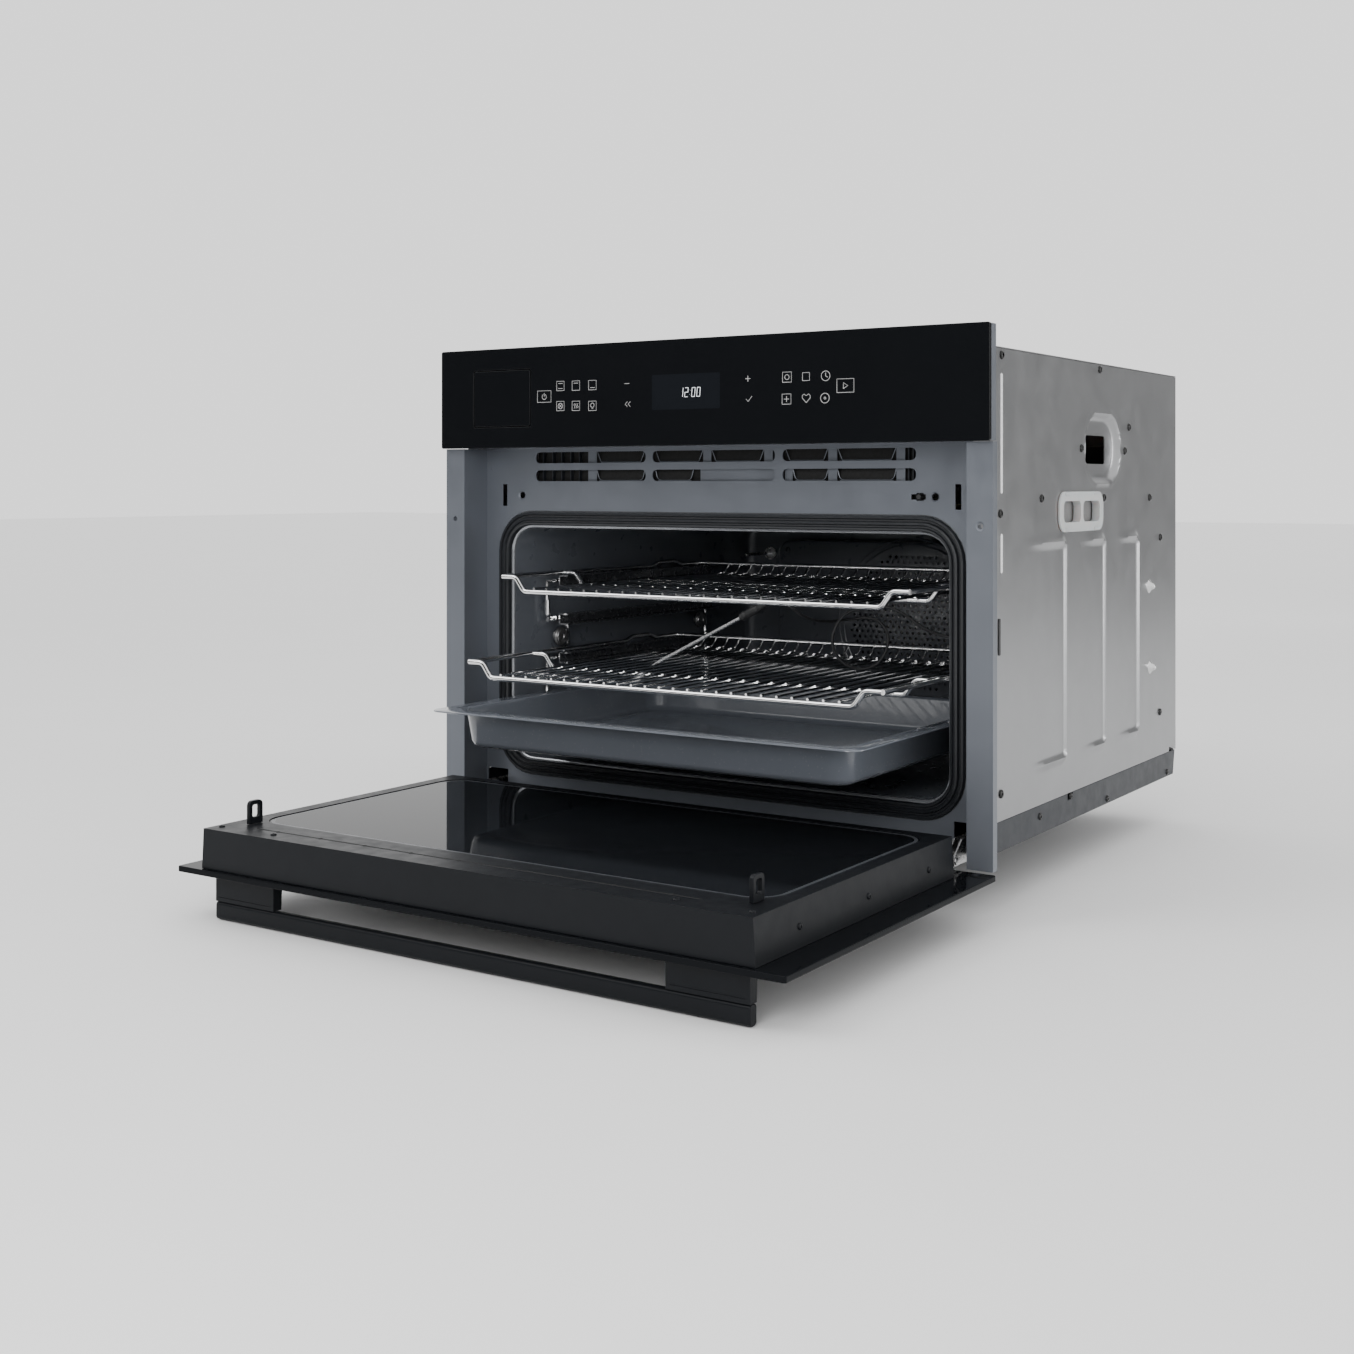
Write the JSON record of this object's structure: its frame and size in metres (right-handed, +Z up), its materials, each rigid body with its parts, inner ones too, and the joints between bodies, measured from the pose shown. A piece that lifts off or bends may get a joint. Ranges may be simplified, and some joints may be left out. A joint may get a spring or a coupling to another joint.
{
  "type": "wall oven",
  "caption": "Compact built-in wall oven with a drop-down glass door, pull-out wire racks and tray, a meat probe and a touch control panel.",
  "frame": {"origin": "middle of the underside of the base, where the oven stands on its cabinet shelf", "axes": "+X to the right seen from the front, +Y to the back, +Z up"},
  "size_m": [0.595, 0.8994, 0.5015],
  "materials": {
    "zinc_sheet": "galvanised sheet, satin",
    "frame_steel": "grey satin enamel paint",
    "dark_steel": "dark grey satin",
    "enamel": "dark grey vitreous enamel, semi-gloss",
    "tray_enamel": "grey-blue vitreous enamel, gloss",
    "chrome_wire": "bright chrome plate",
    "bright_steel": "satin stainless",
    "black_glass": "black printed glass, gloss",
    "black_paint": "black satin powder coat",
    "black_plastic": "black moulded, fine grain",
    "grey_plastic": "light grey moulded",
    "clear_plastic": "clear blue-grey moulded",
    "silicone": "dark silicone, matte",
    "mineral_wool": "glass wool mat",
    "circuit_board": "printed board",
    "ceramic": "glazed ceramic",
    "lead_braid": "dark braided sleeve"
  },
  "bodies": {
    "oven": {"base_pan": "dark_steel", "top_cover": "zinc_sheet", "rear_panel": "zinc_sheet", "side_panel_left": "zinc_sheet", "side_panel_right": "zinc_sheet", "side_grommet_right": "grey_plastic", "front_frame": "frame_steel", "control_glass": "black_glass", "control_carrier": "black_plastic", "control_board": "circuit_board", "hinge_receiver_left": "bright_steel", "hinge_receiver_right": "bright_steel", "tank_sleeve": "grey_plastic", "cavity_liner": "enamel", "cavity_seal": "silicone", "insulation": "mineral_wool", "fan_cover": "enamel", "fan_motor": "zinc_sheet", "ring_heater": "dark_steel", "cavity_lamp": "ceramic", "temperature_sensor": "bright_steel", "steam_inlet": "bright_steel", "probe_socket": "bright_steel", "shelf_support_left": "enamel", "shelf_support_right": "enamel", "support_nut_front_left": "bright_steel", "support_nut_front_right": "bright_steel", "support_nut_rear_left": "bright_steel", "support_nut_rear_right": "bright_steel", "cooling_duct": "zinc_sheet", "vent_grille": "black_plastic", "cooling_fan_housing": "zinc_sheet", "power_board": "circuit_board", "terminal_block": "ceramic", "steam_generator": "bright_steel", "water_pump": "grey_plastic", "probe_rod": "chrome_wire", "probe_grip": "bright_steel", "probe_lead": "lead_braid", "probe_plug": "bright_steel"},
    "door": {"door_glass_outer": "black_glass", "door_box": "black_paint", "door_glass_middle": "black_glass", "door_glass_inner": "black_glass", "handle_bar": "black_paint", "handle_bracket_left": "black_paint", "handle_bracket_right": "black_paint", "hinge_arm_left": "bright_steel", "hinge_arm_right": "bright_steel", "latch_hook_left": "black_plastic", "latch_hook_right": "black_plastic"},
    "upper_rack": {"upper_rack": "chrome_wire"},
    "lower_rack": {"lower_rack": "chrome_wire"},
    "baking_tray": {"baking_tray": "tray_enamel"},
    "tank_drawer": {"tank_front": "black_glass", "water_tank": "clear_plastic", "tank_lid": "clear_plastic"},
    "fan_wheel": {"fan_wheel": "bright_steel"},
    "cooling_rotor": {"cooling_rotor": "black_plastic"},
    "switch_plunger": {"switch_plunger": "black_plastic"}
  },
  "joints": [
    {"name": "door_hinge", "type": "hinge", "parent": "oven", "child": "door", "pos_m": [0, -0.2771, 0.0012], "axis": [-1, 0, 0], "range_deg": [0, 90]},
    {"name": "upper_rack_slide", "type": "slide", "parent": "oven", "child": "upper_rack", "axis": [0, 1, 0], "range_m": [0, 0.0452]},
    {"name": "lower_rack_slide", "type": "slide", "parent": "oven", "child": "lower_rack", "axis": [0, 1, 0], "range_m": [0, 0.0962]},
    {"name": "baking_tray_slide", "type": "slide", "parent": "oven", "child": "baking_tray", "axis": [0, 1, 0], "range_m": [0, 0.1512]},
    {"name": "tank_slide", "type": "slide", "parent": "oven", "child": "tank_drawer", "axis": [0, -1, 0], "range_m": [0, 0.27]},
    {"name": "fan_spin", "type": "hinge", "parent": "oven", "child": "fan_wheel", "pos_m": [0, 0.205, 0.1585], "axis": [0, 1, 0], "continuous": true},
    {"name": "cooling_spin", "type": "hinge", "parent": "oven", "child": "cooling_rotor", "pos_m": [0, 0.078, 0.336], "axis": [0, 0, 1], "continuous": true},
    {"name": "plunger_press", "type": "slide", "parent": "oven", "child": "switch_plunger", "axis": [0, 1, 0], "range_m": [0, 0.0025], "stiffness_N_per_m": 200, "springref_m": -0.002}
  ],
  "couplings": [
    {"joint": "upper_rack_slide", "follows": "door_hinge", "m_per_rad": 0.028648},
    {"joint": "lower_rack_slide", "follows": "door_hinge", "m_per_rad": 0.061115},
    {"joint": "baking_tray_slide", "follows": "door_hinge", "m_per_rad": 0.09613}
  ]
}
